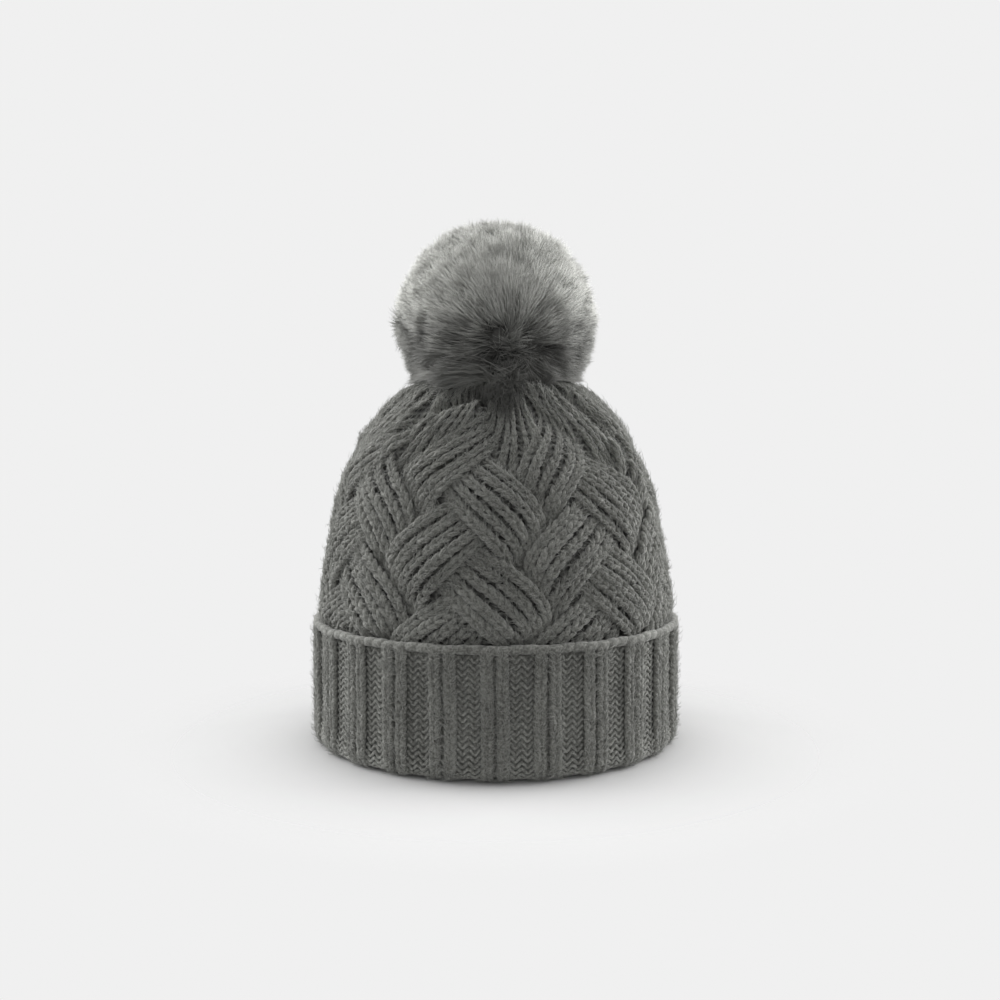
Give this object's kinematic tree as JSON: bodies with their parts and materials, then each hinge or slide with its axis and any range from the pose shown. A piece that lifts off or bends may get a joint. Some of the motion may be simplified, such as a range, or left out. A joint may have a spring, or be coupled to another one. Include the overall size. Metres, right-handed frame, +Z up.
{
  "type": "pom pom beanie",
  "caption": "Chunky cable-knit winter hat with a turned-up ribbed cuff and a fur pom tied to the crown so that it can tilt and turn.",
  "frame": {"origin": "middle of the hem, on the plane that the cap stands on", "axes": "+Z up through the crown and the pom, the front of the cap faces -Y, +X to the wearer's left"},
  "size_m": [0.1888, 0.1888, 0.2642],
  "materials": {
    "knit_wool": "chunky wool-blend cable knit, mid grey, slightly fuzzy, matt",
    "rib_wool": "chunky wool-blend two-by-two rib, mid grey, slightly fuzzy, matt",
    "gather_yarn": "plied wool-blend yarn, mid grey, matt",
    "grey_fur": "long-pile faux fur, light grey tips over darker roots, soft sheen",
    "backing_cloth": "knitted fur backing, dark grey, matt",
    "pom_filling": "polyester fibre filling, off-white",
    "tie_thread": "twisted polyester tie thread, dark grey, slight sheen",
    "button_plastic": "moulded button, dark grey, satin"
  },
  "bodies": {
    "cap": {"cable_knit_body": "knit_wool", "inner_rib_band": "rib_wool", "turned_up_cuff": "rib_wool", "cast_on_edge": "rib_wool", "crown_gather_yarn": "gather_yarn"},
    "tie": {"tie_strand_left": "tie_thread", "tie_strand_right": "tie_thread", "anchor_button": "button_plastic", "lower_tie_knot": "tie_thread"},
    "pom_knot": {"upper_tie_knot": "tie_thread"},
    "pom": {"pom_fur": "grey_fur", "pom_backing": "backing_cloth", "pom_filling": "pom_filling", "pom_gather_thread": "tie_thread"}
  },
  "joints": [
    {"name": "pom_turn", "type": "hinge", "parent": "cap", "child": "tie", "pos_m": [0, 0, 0.1819], "axis": [0, 0, 1], "range_deg": [-30, 30], "stiffness_Nm_per_rad": 0.02},
    {"name": "pom_nod", "type": "hinge", "parent": "tie", "child": "pom_knot", "pos_m": [0, 0, 0.1902], "axis": [1, 0, 0], "range_deg": [-6, 6], "stiffness_Nm_per_rad": 0.12},
    {"name": "pom_sway", "type": "hinge", "parent": "pom_knot", "child": "pom", "pos_m": [0, 0, 0.1902], "axis": [0, 1, 0], "range_deg": [-6, 6], "stiffness_Nm_per_rad": 0.12}
  ]
}
